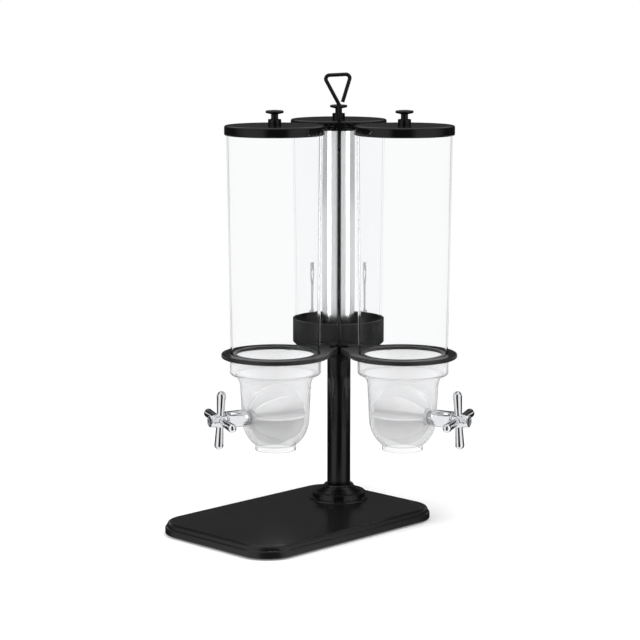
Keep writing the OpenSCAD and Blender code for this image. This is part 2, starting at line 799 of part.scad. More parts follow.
module at_bowl_screws() {
    for (i = [0 : bowl_screw_count - 1])
        rotate([0, 0, (i + 0.5) * 360 / bowl_screw_count]) translate([bowl_screw_c, 0, 0]) children();
}

module ring_section() {
    translate([0, arm_z]) square([ring_r - ring_edge_r, arm_t]);
    translate([0, arm_z + ring_edge_r]) square([ring_r, arm_t - 2 * ring_edge_r]);
    for (z = [arm_z + ring_edge_r, arm_top_z - ring_edge_r])
        translate([ring_r - ring_edge_r, z]) circle(r = ring_edge_r);
}

module ring_bracket() {
    color(BLACK) difference() {
        union() {
            arm_solid(ring_r - ring_edge_r);
            rotate_extrude() ring_section();
        }
        translate([0, 0, arm_z - over]) cylinder(r = ring_hole_r, h = arm_t + 2 * over);
        translate([0, 0, arm_top_z - seat_d])
            pipe(tube_bottom_r + free_fit, seat_in_r, seat_d + over);
        translate([0, 0, arm_z - over]) cylinder(r = flange_r + free_fit, h = bowl_seat_d + over);
        at_bowl_screws() translate([0, 0, bowl_top_z - over])
            cylinder(r = bowl_screw_r + run_fit, h = bowl_screw_reach + face_gap + over);
        arm_screw_hole();
    }
}

module left_bracket() { at_unit(LEFT) ring_bracket(); }
module right_bracket() { at_unit(RIGHT) ring_bracket(); }

module bracket_screws() {
    color(BLACK) at_each_arm() translate([arm_screw_c, 0, arm_top_z])
        socket_screw(arm_screw_r, arm_boss_h + arm_screw_reach, arm_screw_head_r, arm_screw_head_h);
}

// Carry handle
function heading(line, i) = (line[i + 1] - line[i]) / norm(line[i + 1] - line[i]);
function bend_angle(line, i) =
    let (a = heading(line, i - 1), b = heading(line, i)) atan2(a[0] * b[1] - a[1] * b[0], a * b);
function bend_trim(line, i) =
    i == 0 || i == len(line) - 1 ? 0 : bend_r * tan(abs(bend_angle(line, i)) / 2);

module bent_rod(line) {
    for (i = [0 : len(line) - 2]) {
        along = heading(line, i);
        start = line[i] + along * bend_trim(line, i);
        length = norm(line[i + 1] - line[i]) - bend_trim(line, i) - bend_trim(line, i + 1);
        translate([start[0], 0, start[1]]) rotate([0, atan2(along[0], along[1]), 0])
            cylinder(r = rod_r, h = length);
    }
    for (i = [1 : len(line) - 2]) {
        along = heading(line, i - 1);
        turn = bend_angle(line, i);
        inward = sign(turn) * [-along[1], along[0]];
        centre = line[i] - along * bend_trim(line, i) + inward * bend_r;
        first = atan2(-inward[1], -inward[0]) + min(turn, 0) - bend_lap;
        translate([centre[0], 0, centre[1]]) rotate([90, 0, 0]) rotate([0, 0, first])
            rotate_extrude(angle = abs(turn) + 2 * bend_lap)
                translate([bend_r, 0]) circle(r = rod_r + bend_swell);
    }
}

module handle_rod() { color(BLACK) rotate([0, 0, REAR - 90]) bent_rod(ROD_LINE); }

module rod_nut() {
    color(BLACK) translate([0, 0, arm_top_z]) rotate([0, 0, REAR])
        hex_nut(rod_nut_flats, rod_r + run_fit, rod_nut_h);
}

// Hopper tubes
module tube_gasket() {
    color(RUBBER) translate([0, 0, arm_top_z - seat_d])
        pipe(tube_bottom_r, tube_bottom_r - tube_wall, gasket_t);
}

module hopper_tube() {
    color(CLEAR) rotate_extrude() polygon([
        [tube_bottom_r - tube_wall, tube_z], [tube_bottom_r, tube_z],
        [tube_top_r, tube_top_z], [tube_top_r - tube_wall, tube_top_z]
    ]);
}

module left_tube_gasket() { at_unit(LEFT) tube_gasket(); }
module right_tube_gasket() { at_unit(RIGHT) tube_gasket(); }
module left_tube() { at_unit(LEFT) hopper_tube(); }
module right_tube() { at_unit(RIGHT) hopper_tube(); }

// Bowls. The section is drawn twice: inset 0 gives the outside, inset of one wall the inside.
module bowl_section(inset) {
    side_r = collar_r - inset;
    corner = collar_corner_r - inset;
    low_z = collar_z + inset;
    translate([0, low_z + corner]) square([side_r, bowl_top_z - low_z - corner + inset]);
    translate([0, low_z]) square([side_r - corner, bowl_top_z - low_z]);
    translate([side_r - corner, low_z + corner]) circle(r = corner);
    difference() {
        translate([0, neck_z]) square([shoulder_r, low_z + over - neck_z]);
        translate([neck_r + shoulder_arc_r, neck_z]) circle(r = shoulder_arc_r + inset);
    }
    polygon([
        [0, round_z], [bowl_r - inset, round_z], [neck_r - inset, neck_z],
        [neck_r - inset, neck_z + over], [0, neck_z + over]
    ]);
    intersection() {
        translate([0, round_z]) circle(r = bowl_r - inset);
        translate([0, outlet_z - inset]) square([bowl_r, round_z - outlet_z + inset + over]);
    }
    translate([0, outlet_z - inset])
        square([outlet_r - inset, outlet_rim_h + 2 * inset]);
}

module cereal_bowl() {
    color(CLEAR) difference() {
        union() {
            difference() {
                union() {
                    rotate_extrude() bowl_section(0);
                    translate([0, 0, bowl_top_z - bowl_flange_t])
                        cylinder(r = flange_r, h = bowl_flange_t);
                }
                rotate_extrude() bowl_section(bowl_wall);
            }
            along_x(nut_face_x, shaft_z) cylinder(r = pad_r, h = pad_face_x - nut_face_x);
            along_x(-bowl_r + over, shaft_z) cylinder(r = socket_r, h = socket_face_x + bowl_r - over);
        }
        along_x(nut_face_x - over, shaft_z)
            cylinder(r = spigot_r + slip_fit, h = pad_face_x - nut_face_x + 2 * over);
        along_x(socket_end_x, shaft_z) cylinder(r = pivot_r + run_fit, h = pivot_len + face_gap + over);
        at_bowl_screws() translate([0, 0, bowl_top_z - bowl_flange_t - over])
            cylinder(r = bowl_screw_r + slip_fit, h = bowl_flange_t + 2 * over);
    }
}

module left_bowl() { at_unit(LEFT) cereal_bowl(); }
module right_bowl() { at_unit(RIGHT) cereal_bowl(); }

module bowl_screws() {
    color(BLACK) for (angle = [LEFT, RIGHT]) at_unit(angle) at_bowl_screws()
        translate([0, 0, bowl_top_z - bowl_flange_t]) mirror([0, 0, 1])
            socket_screw(bowl_screw_r, bowl_flange_t + bowl_screw_reach, bowl_screw_head_r,
                bowl_screw_head_h);
}

// Paddle drives
module bearing_section() {
    polygon([
        [0, spigot_end_x], [spigot_r, spigot_end_x], [spigot_r, pad_face_x],
        [bearing_r - bearing_chamfer, pad_face_x], [bearing_r, pad_face_x + bearing_chamfer],
        [bearing_r, bearing_end - bearing_chamfer], [bearing_r - bearing_chamfer, bearing_end],
        [0, bearing_end]
    ]);
}

module bearing() {
    color(CHROME) difference() {
        along_x(0, shaft_z) rotate_extrude() bearing_section();
        along_x(spigot_end_x - over, shaft_z)
            cylinder(r = shaft_r + run_fit, h = bearing_end - spigot_end_x + 2 * over);
    }
}

module bearing_nut() {
    color(NYLON) along_x(nut_face_x - nut_t, shaft_z) hex_nut(nut_flats, spigot_r + run_fit, nut_t);
}

// Round bar with one flat, along +X
module flatted_bar(r, flat, from_x, to_x) {
    intersection() {
        along_x(from_x, shaft_z) cylinder(r = r, h = to_x - from_x);
        translate([from_x - over, -r - over, shaft_z - r - over])
            cube([to_x - from_x + 2 * over, 2 * (r + over), 2 * r + over - flat]);
    }
}

module drive_shaft() {
    color(STEEL) difference() {
        union() {
            along_x(socket_end_x + face_gap, shaft_z)
                cylinder(r = pivot_r, h = core_in_x - socket_end_x - face_gap + over);
            flatted_bar(shaft_r, shaft_flat, core_in_x, core_out_x);
            along_x(core_out_x - over, shaft_z)
                cylinder(r = shaft_r, h = cross_x - core_out_x + over);
            flatted_bar(shaft_r, shaft_flat, cross_x - over, shaft_end_x);
        }
        along_x(shaft_end_x - cross_screw_reach - face_gap, shaft_z)
            cylinder(r = cross_screw_r + run_fit, h = cross_screw_reach + 2 * over);
    }
}

module paddle(turn) {
    color(SILICONE) difference() {
        union() {
            intersection() {
                translate([0, 0, shaft_z]) sphere(r = paddle_r);
                for (i = [0 : blade_count - 1]) translate([0, 0, shaft_z])
                    rotate([turn + i * 360 / blade_count, 0, 0])
                        translate([-paddle_r, -blade_t / 2, 0]) cube([2 * paddle_r, blade_t, paddle_r]);
            }
            along_x(core_in_x, shaft_z) cylinder(r = core_r, h = core_out_x - core_in_x);
        }
        along_x(core_out_x, shaft_z) cylinder(r = pad_r + free_fit, h = paddle_r);
        along_x(core_in_x - paddle_r, shaft_z) cylinder(r = socket_r + free_fit, h = paddle_r);
        flatted_bar(shaft_r + run_fit, shaft_flat, core_in_x - over, core_out_x + over);
    }
}

module cross_hub_section() {
    polygon([
        [0, cross_x], [cross_hub_r, cross_x], [cross_hub_r, cross_x + cross_plane],
        [cross_tip_r, cross_end_x - recess_d], [cross_tip_r, cross_end_x], [0, cross_end_x]
    ]);
}

module cross_hub_flat(angle) {
    lean = atan((cross_hub_r - cross_tip_r) / cross_hub_len);
    translate([cross_x - over, 0, shaft_z]) rotate([angle, 0, 0])
        translate([0, -cross_hub_r, cross_hub_r - cross_flat]) rotate([0, lean, 0])
            cube([cross_hub_len + 2 * over, 2 * cross_hub_r, cross_hub_r]);
}

module cross_handle(turn) {
    color(CHROME) difference() {
        union() {
            difference() {
                along_x(0, shaft_z) rotate_extrude() cross_hub_section();
                for (i = [0 : 7]) cross_hub_flat(turn + (i + 0.5) * 45);
            }
            for (i = [0 : cross_arms - 1])
                translate([cross_x + cross_plane, 0, shaft_z]) rotate([turn + i * 360 / cross_arms, 0, 0]) {
                    cylinder(r1 = cross_root_r, r2 = cross_ball_r - 0.1, h = cross_arm_len - cross_ball_r);
                    translate([0, 0, cross_arm_len - cross_ball_r]) sphere(r = cross_ball_r);
                }
        }
        flatted_bar(shaft_r + run_fit, shaft_flat, cross_x - over, cross_web_x);
        along_x(cross_web_x - over, shaft_z)
            cylinder(r = cross_screw_r + through_fit, h = cross_web + 2 * over);
        along_x(cross_end_x - recess_d, shaft_z) cylinder(r = recess_r, h = recess_d + over);
    }
}

module handle_screw() {
    color(CHROME) along_x(cross_web_x + cross_web, shaft_z)
        socket_screw(cross_screw_r, cross_web + face_gap + cross_screw_reach, cross_screw_head_r,
            cross_screw_head_h);
}

module left_bearing() { at_unit(LEFT) bearing(); }
module right_bearing() { at_unit(RIGHT) bearing(); }
module left_bearing_nut() { at_unit(LEFT) bearing_nut(); }
module right_bearing_nut() { at_unit(RIGHT) bearing_nut(); }
module left_shaft() { at_unit(LEFT) drive_shaft(); }
module right_shaft() { at_unit(RIGHT) drive_shaft(); }
module left_paddle() { at_unit(LEFT) paddle(-blade_turn); }
module right_paddle() { at_unit(RIGHT) paddle(blade_turn); }
module left_handle() { at_unit(LEFT) cross_handle(-cross_turn); }
module right_handle() { at_unit(RIGHT) cross_handle(cross_turn); }
module left_handle_screw() { at_unit(LEFT) handle_screw(); }
module right_handle_screw() { at_unit(RIGHT) handle_screw(); }

// Lids
module lid() {
    color(BLACK) translate([0, 0, lid_z]) difference() {
        rotate_extrude() rounded_half(lid_r, lid_h, lid_edge_r, lid_lip_r);
        translate([0, 0, -over]) cylinder(r = lid_bore_r, h = lid_h - lid_plate_t + over);
        cylinder(r = knob_screw_r + through_fit, h = lid_h + over);
    }
}

module lid_seal() {
    color(SILICONE) translate([0, 0, tube_top_z - seal_h]) pipe(seal_r, seal_r - seal_wall, seal_h);
}

// Radius of an arc from its half width and its rise
function arc_r(half, rise) = (half * half + rise * rise) / (2 * rise);

module knob_section() {
    rim_z = knob_h - knob_dome_h;
    lens_x = knob_cap_r - 0.55 * knob_edge_r;
    lens_h = 0.78 * knob_edge_r;
    dome_r = arc_r(lens_x, knob_dome_h - lens_h);
    under_arc_r = arc_r(lens_x, knob_under_h - lens_h);
    rounded_half(knob_foot_r, knob_foot_h, 1, 0);
    square([knob_neck_r, rim_z]);
    intersection() {
        translate([0, knob_h - dome_r]) circle(r = dome_r);
        translate([0, rim_z - knob_under_h + under_arc_r]) circle(r = under_arc_r);
        translate([0, rim_z - knob_under_h]) square([lens_x, knob_h]);
    }
    translate([knob_cap_r - knob_edge_r, rim_z]) circle(r = knob_edge_r);
}

module knob() {
    color(BLACK) translate([0, 0, lid_top_z]) difference() {
        rotate_extrude() knob_section();
        translate([0, 0, -over])
            cylinder(r = knob_screw_r + run_fit, h = knob_screw_reach + face_gap + over);
    }
}

module knob_screw() {
    color(STEEL) translate([0, 0, tube_top_z]) mirror([0, 0, 1])
        socket_screw(knob_screw_r, lid_plate_t + knob_screw_reach, knob_screw_head_r,
            knob_screw_head_h);
}

module left_lid() { at_unit(LEFT) lid(); }
module right_lid() { at_unit(RIGHT) lid(); }
module juice_lid() { at_unit(REAR) lid(); }
module left_knob() { at_unit(LEFT) knob(); }
module right_knob() { at_unit(RIGHT) knob(); }
module juice_knob() { at_unit(REAR) knob(); }
module left_lid_seal() { at_unit(LEFT) lid_seal(); }
module right_lid_seal() { at_unit(RIGHT) lid_seal(); }
module juice_lid_seal() { at_unit(REAR) lid_seal(); }
module left_knob_screw() { at_unit(LEFT) knob_screw(); }
module right_knob_screw() { at_unit(RIGHT) knob_screw(); }
module juice_knob_screw() { at_unit(REAR) knob_screw(); }

// Juice unit
module tank_cup() {
    color(BLACK) at_unit(REAR) difference() {
        union() {
            rotate_extrude() polygon([
                [0, cup_z], [cup_r - cup_chamfer, cup_z], [cup_r, cup_z + cup_chamfer],
                [cup_r, cup_rim_z], [0, cup_rim_z]
            ]);
            arm_solid(cup_r - blend);
        }
        translate([0, 0, tank_z]) cylinder(r = cup_bore_r, h = cup_h);
        along_x(0, tap_z) cylinder(r = notch_r, h = cup_r + over);
        translate([0, -notch_r, tap_z]) cube([cup_r + over, 2 * notch_r, cup_h]);
        arm_screw_hole();
    }
}

module juice_tank() {
    color(CLEAR) at_unit(REAR) difference() {
        union() {
            rotate_extrude() polygon([
                [0, tank_z], [tank_foot_r, tank_z], [tube_top_r, tube_top_z],
                [tube_top_r - tube_wall, tube_top_z], [tube_r_at(ice_z) - tube_wall, ice_z], [0, ice_z]
            ]);
            translate([0, 0, ice_z - over])
                pipe(ice_r + free_fit + ice_seat_wall, ice_r + free_fit, ice_seat_h + over);
            along_x(tap_nut_x, tap_z) cylinder(r = tap_pad_r, h = tap_face_x - tap_nut_x);
        }
        along_x(tap_nut_x - over, tap_z)
            cylinder(r = shank_r + slip_fit, h = tap_face_x - tap_nut_x + 2 * over);
    }
}

module ice_tube() {
    color(STEEL) at_unit(REAR) translate([0, 0, ice_z]) difference() {
        cylinder(r = ice_r, h = ice_top_z - ice_z);
        translate([0, 0, ice_wall]) cylinder(r = ice_r - ice_wall, h = ice_top_z - ice_z);
    }
}

// Catch seen from outside, with z = 0 at the cup's rim
module catch_outline() {
    eye_top = catch_h - catch_head_h;
    eye_low = eye_top - catch_eye_h;
    translate([-catch_w / 2, eye_top - over]) square([catch_w, catch_head_h + over]);
    difference() {
        polygon([
            [-catch_w / 2, eye_top], [catch_w / 2, eye_top], [catch_w / 2, eye_top - catch_eye_h / 2],
            [catch_waist / 2, eye_low - catch_waist], [-catch_waist / 2, eye_low - catch_waist],
            [-catch_w / 2, eye_top - catch_eye_h / 2]
        ]);
        polygon([
            [-catch_w / 2 + catch_strip, eye_top], [catch_w / 2 - catch_strip, eye_top],
            [catch_w / 2 - catch_strip, eye_top - catch_eye_h / 2], [0, eye_low],
            [-catch_w / 2 + catch_strip, eye_top - catch_eye_h / 2]
        ]);
    }
    translate([-catch_waist / 2, catch_w]) square([catch_waist, eye_low - catch_waist - catch_w + over]);
    polygon([
        [-catch_w / 2, 0], [catch_w / 2, 0], [catch_waist / 2, catch_w + over],
        [-catch_waist / 2, catch_w + over]
    ]);
}

module tank_catch() {
    top_r = tube_r_at(cup_rim_z + catch_h) + free_fit;
    translate([top_r, 0, cup_rim_z]) rotate([90, 0, 90]) linear_extrude(catch_t) catch_outline();
    translate([top_r, -catch_w / 2, cup_rim_z])
        cube([cup_r + free_fit + catch_t - top_r, catch_w, catch_t]);
    translate([cup_r + free_fit, -catch_w / 2, cup_rim_z - catch_leg_h])
        cube([catch_t, catch_w, catch_leg_h + catch_t]);
    along_x(top_r + catch_t / 2, cup_rim_z + catch_h - catch_head_h - catch_eye_h - 2 * catch_waist - 8)
        cylinder(r = catch_waist / 2 - 0.2, h = catch_t);
}

module tank_catches() {
    color(CLEAR) at_unit(REAR) for (side = [-1, 1]) rotate([0, 0, side * catch_angle]) tank_catch();
}

// Tap, in the juice unit's own frame
module tap_body() {
    color(CHROME) at_unit(REAR) difference() {
        union() {
            along_x(tap_nut_x - tap_nut_t - over, tap_z)
                cylinder(r = shank_r, h = tap_flange_x - tap_nut_x + tap_nut_t + 2 * over);
            along_x(tap_flange_x, tap_z) cylinder(r = tap_flange_r, h = tap_flange_t);
            along_x(tap_flange_x, tap_z) cylinder(r = tap_barrel_r, h = tap_reach - tap_flange_x);
            translate([tap_reach, 0, tap_z - chamber_half])
                cylinder(r = chamber_r, h = 2 * chamber_half);
            translate([tap_reach, 0, spout_z]) cylinder(r = spout_r, h = spout_h + over);
        }
        along_x(tap_nut_x - tap_nut_t - 2 * over, tap_z)
            cylinder(r = shank_bore_r, h = tap_reach - tap_nut_x + tap_nut_t + 2 * over);
        translate([tap_reach, 0, valve_seat_z])
            cylinder(r = chamber_bore_r, h = chamber_top_z - valve_seat_z + over);
        translate([tap_reach, 0, spout_z - over])
            cylinder(r = spout_bore_r, h = valve_seat_z - spout_z + 2 * over);
    }
}

module tap_bonnet() {
    color(CHROME) at_unit(REAR) difference() {
        union() {
            translate([tap_reach, 0, chamber_top_z]) cylinder(r = chamber_r, h = bonnet_t);
            translate([tap_reach, 0, spring_top_z])
                cylinder(r = chamber_bore_r - slip_fit, h = bonnet_plug_h + over);
            for (side = [-1, 1]) translate([0, side * (ear_y + ear_t / 2), 0]) {
                translate([tap_reach, -ear_t / 2, chamber_top_z])
                    cube([lever_offset, ear_t, lever_z - chamber_top_z]);
                translate([lever_x, ear_t / 2, lever_z]) rotate([90, 0, 0])
                    cylinder(r = lever_eye_r + over, h = ear_t);
                translate([lever_x - over, -ear_t / 2, chamber_top_z])
                    cube([lever_eye_r + 2 * over, ear_t, lever_z - chamber_top_z]);
            }
        }
        translate([tap_reach, 0, spring_top_z - over])
            cylinder(r = stem_r + run_fit, h = bonnet_plug_h + bonnet_t + 2 * over);
        translate([lever_x, ear_y + ear_t + over, lever_z]) rotate([90, 0, 0])
            cylinder(r = lever_pin_r + run_fit, h = 2 * (ear_y + ear_t + over));
    }
}

module tap_gasket() {
    color(RUBBER) at_unit(REAR) along_x(tap_face_x, tap_z)
        pipe(tap_pad_r, shank_r + slip_fit, tap_gasket_t);
}

module tap_nut() {
    color(NYLON) at_unit(REAR) along_x(tap_nut_x - tap_nut_t, tap_z)
        hex_nut(tap_nut_flats, shank_r + run_fit, tap_nut_t);
}

module tap_pin() {
    color(STEEL) at_unit(REAR) translate([lever_x, ear_y + ear_t, lever_z]) rotate([90, 0, 0])
        cylinder(r = lever_pin_r, h = 2 * (ear_y + ear_t));
}

// Coil of one unbroken wire between the stem's collar and the bonnet
SPRING_SIDES = 6;
SPRING_STEPS = 10;
spring_rise = (spring_top_z - spring_z - 2 * spring_wire_r - 2 * face_gap) / spring_turns;
spring_rings = spring_turns * SPRING_STEPS;
function spring_point(ring, side) =
    let (
        around = ring * 360 / SPRING_STEPS,
        roll = side * 360 / SPRING_SIDES,
        out = spring_mid_r + spring_wire_r * cos(roll),
        z = spring_z + spring_wire_r + face_gap + spring_rise * ring / SPRING_STEPS
    )
    [out * cos(around), out * sin(around), z + spring_wire_r * sin(roll)];
spring_points = [
    for (ring = [0 : spring_rings], side = [0 : SPRING_SIDES - 1]) spring_point(ring, side)
];
spring_skin = [
    for (ring = [0 : spring_rings - 1], side = [0 : SPRING_SIDES - 1])
        let (
            a = ring * SPRING_SIDES + side,
            b = ring * SPRING_SIDES + (side + 1) % SPRING_SIDES
        )
        for (face = [[a, a + SPRING_SIDES, b], [b, a + SPRING_SIDES, b + SPRING_SIDES]]) face
];
spring_ends = [
    for (side = [1 : SPRING_SIDES - 2])
        for (face = [
            [0, side, side + 1],
            [spring_rings * SPRING_SIDES, spring_rings * SPRING_SIDES + side + 1,
                spring_rings * SPRING_SIDES + side]
        ]) face
];

module tap_spring() {
    color(STEEL) at_unit(REAR) translate([tap_reach, 0, 0])
        polyhedron(points = spring_points, faces = concat(spring_skin, spring_ends));
}

module tap_lever() {
    color(BLACK) at_unit(REAR) difference() {
        union() {
            translate([lever_x, ear_y - free_fit, lever_z]) rotate([90, 0, 0])
                cylinder(r = lever_eye_r, h = 2 * (ear_y - free_fit));
            translate([lever_x, 0, lever_z])
                cylinder(r1 = lever_eye_r - 0.6, r2 = lever_grip_r - 0.1, h = lever_h - lever_grip_r);
            translate([lever_x, 0, lever_z + lever_h - lever_grip_r]) sphere(r = lever_grip_r);
            for (side = [-1, 1]) translate([0, side * (prong_y + prong_w / 2), 0])
                translate([tap_reach - free_fit, -prong_w / 2, lever_z - prong_t / 2])
                    cube([lever_offset + free_fit, prong_w, prong_t]);
        }
        translate([lever_x, ear_y + over, lever_z]) rotate([90, 0, 0])
            cylinder(r = lever_pin_r + run_fit, h = 2 * (ear_y + over));
    }
}

module tap_stem() {
    color(STEEL) at_unit(REAR) translate([tap_reach, 0, 0]) {
        translate([0, 0, stem_collar_z]) cylinder(r = stem_collar_r, h = stem_collar_t);
        translate([0, 0, stem_collar_z + over])
            cylinder(r = stem_r, h = stem_head_z - stem_collar_z);
        translate([0, 0, stem_head_z]) cylinder(r = stem_head_r, h = stem_head_t);
    }
}

module tap_seal() {
    color(RUBBER) at_unit(REAR) translate([tap_reach, 0, valve_seat_z])
        cylinder(r = chamber_bore_r - free_fit, h = seal_t);
}

base_pad();
base_plate();
post_foot();
post_tube();
post_plug();
post_bolt();
spindle();
thrust_washer();
spindle_clip();
hub();
hub_bush();
left_bracket();
right_bracket();
tank_cup();
bracket_screws();
handle_rod();
rod_nut();
left_tube_gasket();
right_tube_gasket();
left_tube();
right_tube();
left_bowl();
right_bowl();
bowl_screws();
left_bearing();
right_bearing();
left_bearing_nut();
right_bearing_nut();
left_shaft();
right_shaft();
left_paddle();
right_paddle();
left_handle();
right_handle();
left_handle_screw();
right_handle_screw();
left_lid();
right_lid();
juice_lid();
left_knob();
right_knob();
juice_knob();
left_lid_seal();
right_lid_seal();
juice_lid_seal();
left_knob_screw();
right_knob_screw();
juice_knob_screw();
juice_tank();
ice_tube();
tank_catches();
tap_body();
tap_bonnet();
tap_gasket();
tap_nut();
tap_pin();
tap_spring();
tap_lever();
tap_stem();
tap_seal();
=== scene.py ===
"""Looks of a revolving cereal and juice dispenser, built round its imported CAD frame."""

import math

import bpy
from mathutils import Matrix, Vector


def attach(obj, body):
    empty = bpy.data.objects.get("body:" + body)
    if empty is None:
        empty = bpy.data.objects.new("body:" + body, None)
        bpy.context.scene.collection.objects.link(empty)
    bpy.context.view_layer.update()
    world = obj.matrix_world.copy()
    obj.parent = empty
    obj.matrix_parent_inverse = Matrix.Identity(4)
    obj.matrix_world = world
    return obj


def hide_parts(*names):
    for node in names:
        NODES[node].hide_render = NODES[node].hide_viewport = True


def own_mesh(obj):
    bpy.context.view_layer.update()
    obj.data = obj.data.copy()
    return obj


bl_info = {
    "name": "Revolving Dispenser Looks",
    "version": (1, 0, 0),
    "blender": (4, 5, 0),
    "location": "3D View > Sidebar > Dispenser",
    "description": "Finishes, castings and studio for a cereal and juice dispenser",
    "category": "Scene",
}

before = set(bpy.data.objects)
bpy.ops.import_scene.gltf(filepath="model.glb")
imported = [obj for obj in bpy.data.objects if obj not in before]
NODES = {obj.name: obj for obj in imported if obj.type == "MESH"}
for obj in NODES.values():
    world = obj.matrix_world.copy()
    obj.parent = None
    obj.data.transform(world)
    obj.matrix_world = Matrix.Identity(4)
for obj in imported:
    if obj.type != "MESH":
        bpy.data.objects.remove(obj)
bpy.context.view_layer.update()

SIDES = ("left", "right")
UNITS = ("left", "right", "juice")

# Span that a noise texture's values mostly stay in
GRAIN_SPAN = (0.3, 0.7)

# Edges sharper than this are rounded, once points this close are one
SHARP_ANGLE = math.radians(40)
WELD_GAP = 1e-6

# Share of the way that each smoothing pass moves a casting's points
FILLET_SHARE = 0.5

# Studio, in metres from the middle of the object
MIDDLE = Vector((0, 0, 0.3))
SIDE_BOX_ASIDE, SIDE_BOX_AHEAD, SIDE_BOX_UP = 1.6, 0.5, 0.35
SIDE_BOX_SIZE = (0.7, 1.6)
TOP_BOX_AHEAD, TOP_BOX_UP = 0.3, 1.9
TOP_BOX_SIZE = (1.6, 1.6)
SENSOR_WIDTH = 36

# Floor: its corners, its own light, and how it fades along its radius
FLOOR_SIDES = 64
FLOOR_GLOW = 0.12
FLOOR_FADE = ((0.45, 1), (0.95, 0))

# Dome of cards: faces up and round it
CARD_ROWS, CARD_COLUMNS = 24, 48

# Openings in the cards, as (place, openness). Round the dome, 0 is towards the camera and 0.5 away
# from it. Up the dome, 0 is its lowest point and 1 its highest.
FRONT_ROUND = ((0.05, 0), (0.085, 1), (0.17, 1), (0.26, 0))
FRONT_UP = ((0.0, 1), (0.8, 1), (0.88, 0))
REAR_ROUND = ((0.25, 0), (0.29, 1), (0.39, 1), (0.43, 0))
REAR_UP = ((0.41, 0), (0.44, 1), (0.5, 1), (0.54, 0))
OVERHEAD_UP = ((0.76, 0), (0.88, 1))
UNDERNEATH_UP = ((0.06, 1), (0.16, 0))


# Settings
class DispenserFinishes(bpy.types.PropertyGroup):
    """Colours of the dispenser's materials"""

    black_paint: bpy.props.FloatVectorProperty(
        name="Black paint", description="Coating of the post, foot, hub and carry handle",
        subtype="COLOR", size=3, min=0, max=1, default=(0.0035, 0.0035, 0.0038))
    satin_black: bpy.props.FloatVectorProperty(
        name="Satin black", description="Coating of the rings, their arms and the cup",
        subtype="COLOR", size=3, min=0, max=1, default=(0.0165, 0.0165, 0.017))
    base_black: bpy.props.FloatVectorProperty(
        name="Base black", description="Coating of the base",
        subtype="COLOR", size=3, min=0, max=1, default=(0.00825, 0.00825, 0.0085))
    lid_black: bpy.props.FloatVectorProperty(
        name="Lid black", description="Moulded plastic of the lids, knobs and tap lever",
        subtype="COLOR", size=3, min=0, max=1, default=(0.004, 0.004, 0.0043))
    clear_tint: bpy.props.FloatVectorProperty(
        name="Clear tint", description="Clear plastic of the hoppers and tank",
        subtype="COLOR", size=3, min=0, max=1, default=(0.985, 0.988, 0.99))
    milky_tint: bpy.props.FloatVectorProperty(
        name="Milky tint", description="Hazy clear plastic of the bowls",
        subtype="COLOR", size=3, min=0, max=1, default=(0.93, 0.93, 0.935))
    catch_tint: bpy.props.FloatVectorProperty(
        name="Catch tint", description="Smoky clear plastic of the tank's catches",
        subtype="COLOR", size=3, min=0, max=1, default=(0.6, 0.6, 0.62))
    chrome: bpy.props.FloatVectorProperty(
        name="Chrome", description="Plating of the cross handles, bearings and tap",
        subtype="COLOR", size=3, min=0, max=1, default=(0.80, 0.81, 0.83))
    steel: bpy.props.FloatVectorProperty(
        name="Steel", description="Ice tube, shafts, spring, pin and screws",
        subtype="COLOR", size=3, min=0, max=1, default=(0.66, 0.665, 0.67))
    silicone: bpy.props.FloatVectorProperty(
        name="Silicone", description="Milky paddles, their nuts and the lids' seals",
        subtype="COLOR", size=3, min=0, max=1, default=(0.67, 0.67, 0.675))
    rubber: bpy.props.FloatVectorProperty(
        name="Rubber", description="Anti-slip pad, gaskets and the tap's seal",
        subtype="COLOR", size=3, min=0, max=1, default=(0.02, 0.02, 0.02))
    nylon: bpy.props.FloatVectorProperty(
        name="Nylon", description="Nut that holds the tap",
        subtype="COLOR", size=3, min=0, max=1, default=(0.80, 0.79, 0.75))


class DispenserShapes(bpy.types.PropertyGroup):
    """Sizes of what is softened or cast in the looks"""

    metal_edge: bpy.props.FloatProperty(
        name="Metal edge", description="Rounding of coated metal edges",
        subtype="DISTANCE", unit="LENGTH", min=0, max=0.002, default=0.0005)
    casting_voxel: bpy.props.FloatProperty(
        name="Casting grain", description="Mesh size of the cast cross handles",
        subtype="DISTANCE", unit="LENGTH", min=0.0002, max=0.002, default=0.00045)
    casting_smooth: bpy.props.IntProperty(
        name="Casting fillet", description="Smoothing passes that round the casting's corners",
        min=0, max=60, default=8)


